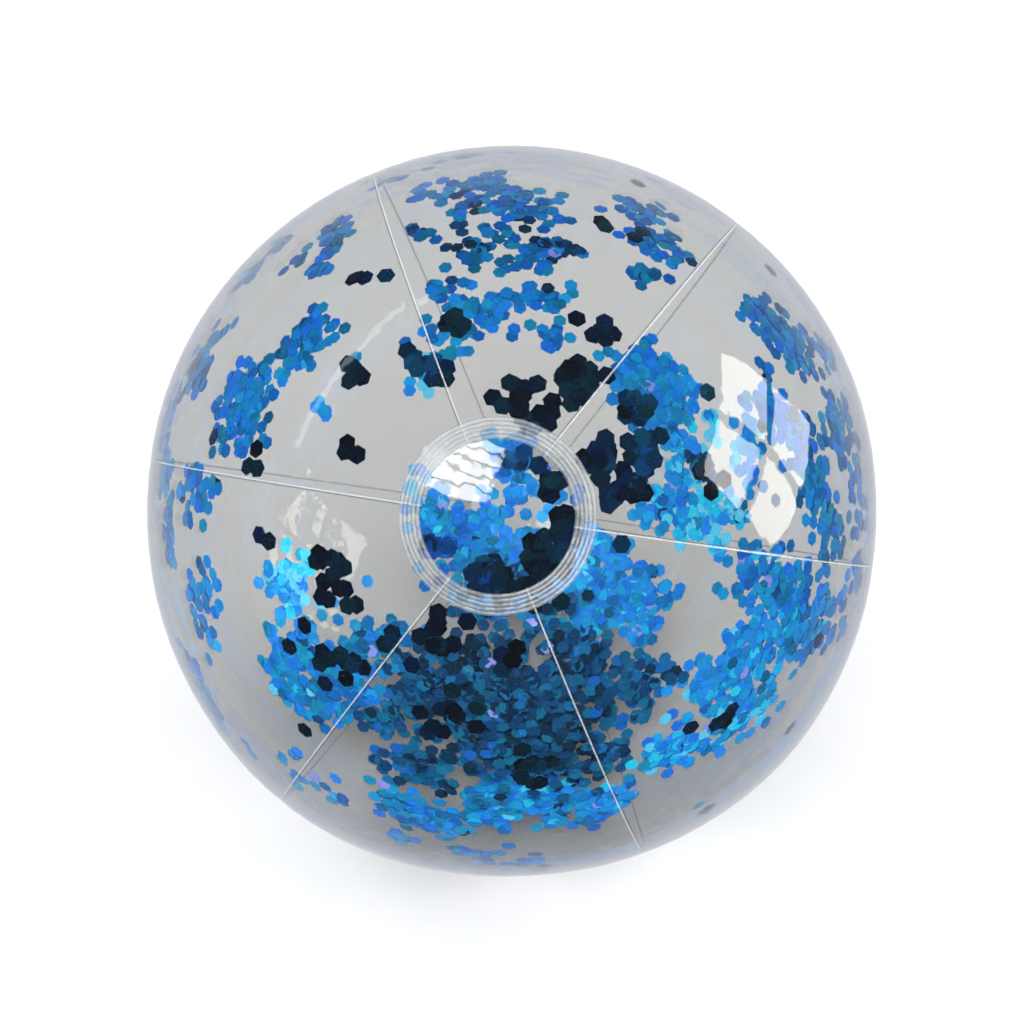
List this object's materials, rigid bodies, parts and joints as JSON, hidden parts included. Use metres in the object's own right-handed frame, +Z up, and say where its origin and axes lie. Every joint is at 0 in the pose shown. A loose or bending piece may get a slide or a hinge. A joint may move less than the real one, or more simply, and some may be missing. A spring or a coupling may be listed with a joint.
{
  "type": "inflatable beach ball",
  "caption": "Clear inflatable ball of welded film gores with two end discs, a push-in valve and loose hexagonal sequins inside.",
  "frame": {"origin": "centre of the inflated ball", "axes": "+Z up with the ball lying at rest; the front end disc's axis points up and towards -Y, 48.4 degrees above the floor and 2.8 degrees towards -X"},
  "size_m": [0.3, 0.3, 0.3],
  "materials": {
    "clear_film": "gloss",
    "disc_film": "gloss",
    "valve_pvc": "satin",
    "blue_foil": "metallic"
  },
  "bodies": {
    "shell": {"gore_1": "clear_film", "gore_2": "clear_film", "gore_3": "clear_film", "gore_4": "clear_film", "gore_5": "clear_film", "gore_6": "clear_film", "front_end_disc": "disc_film", "back_end_disc": "disc_film", "valve_flange": "valve_pvc", "valve_diaphragm": "valve_pvc", "sequins_gore_1": "blue_foil", "sequins_gore_2": "blue_foil", "sequins_gore_3": "blue_foil", "sequins_gore_4": "blue_foil", "sequins_gore_5": "blue_foil", "sequins_gore_6": "blue_foil", "sequins_front_disc": "blue_foil", "sequins_back_disc": "blue_foil"},
    "stem": {"valve_stem": "valve_pvc", "valve_tether": "valve_pvc"},
    "check_flap": {"valve_check_flap": "valve_pvc"},
    "plug": {"valve_plug": "valve_pvc"},
    "loose_drift": {"sequins_loose": "blue_foil"}
  },
  "joints": [
    {"name": "valve_press", "type": "slide", "parent": "shell", "child": "stem", "axis": [0.4511, 0.7063, -0.5456], "range_m": [0, 0.012], "deforming": ["valve_diaphragm"]},
    {"name": "plug_pull", "type": "slide", "parent": "stem", "child": "plug", "axis": [0.4511, 0.7063, -0.5456], "range_m": [0, 0.01], "deforming": ["valve_tether"]},
    {"name": "check_flap_hinge", "type": "hinge", "parent": "stem", "child": "check_flap", "pos_m": [0.06571, 0.09604, -0.0742], "axis": [0, 0.6114, 0.7913], "range_deg": [0, 60], "stiffness_Nm_per_rad": 0.00002},
    {"name": "sequin_tumble", "type": "hinge", "parent": "shell", "child": "loose_drift", "pos_m": [0, 0, 0], "axis": [1, 0, 0], "continuous": true}
  ]
}
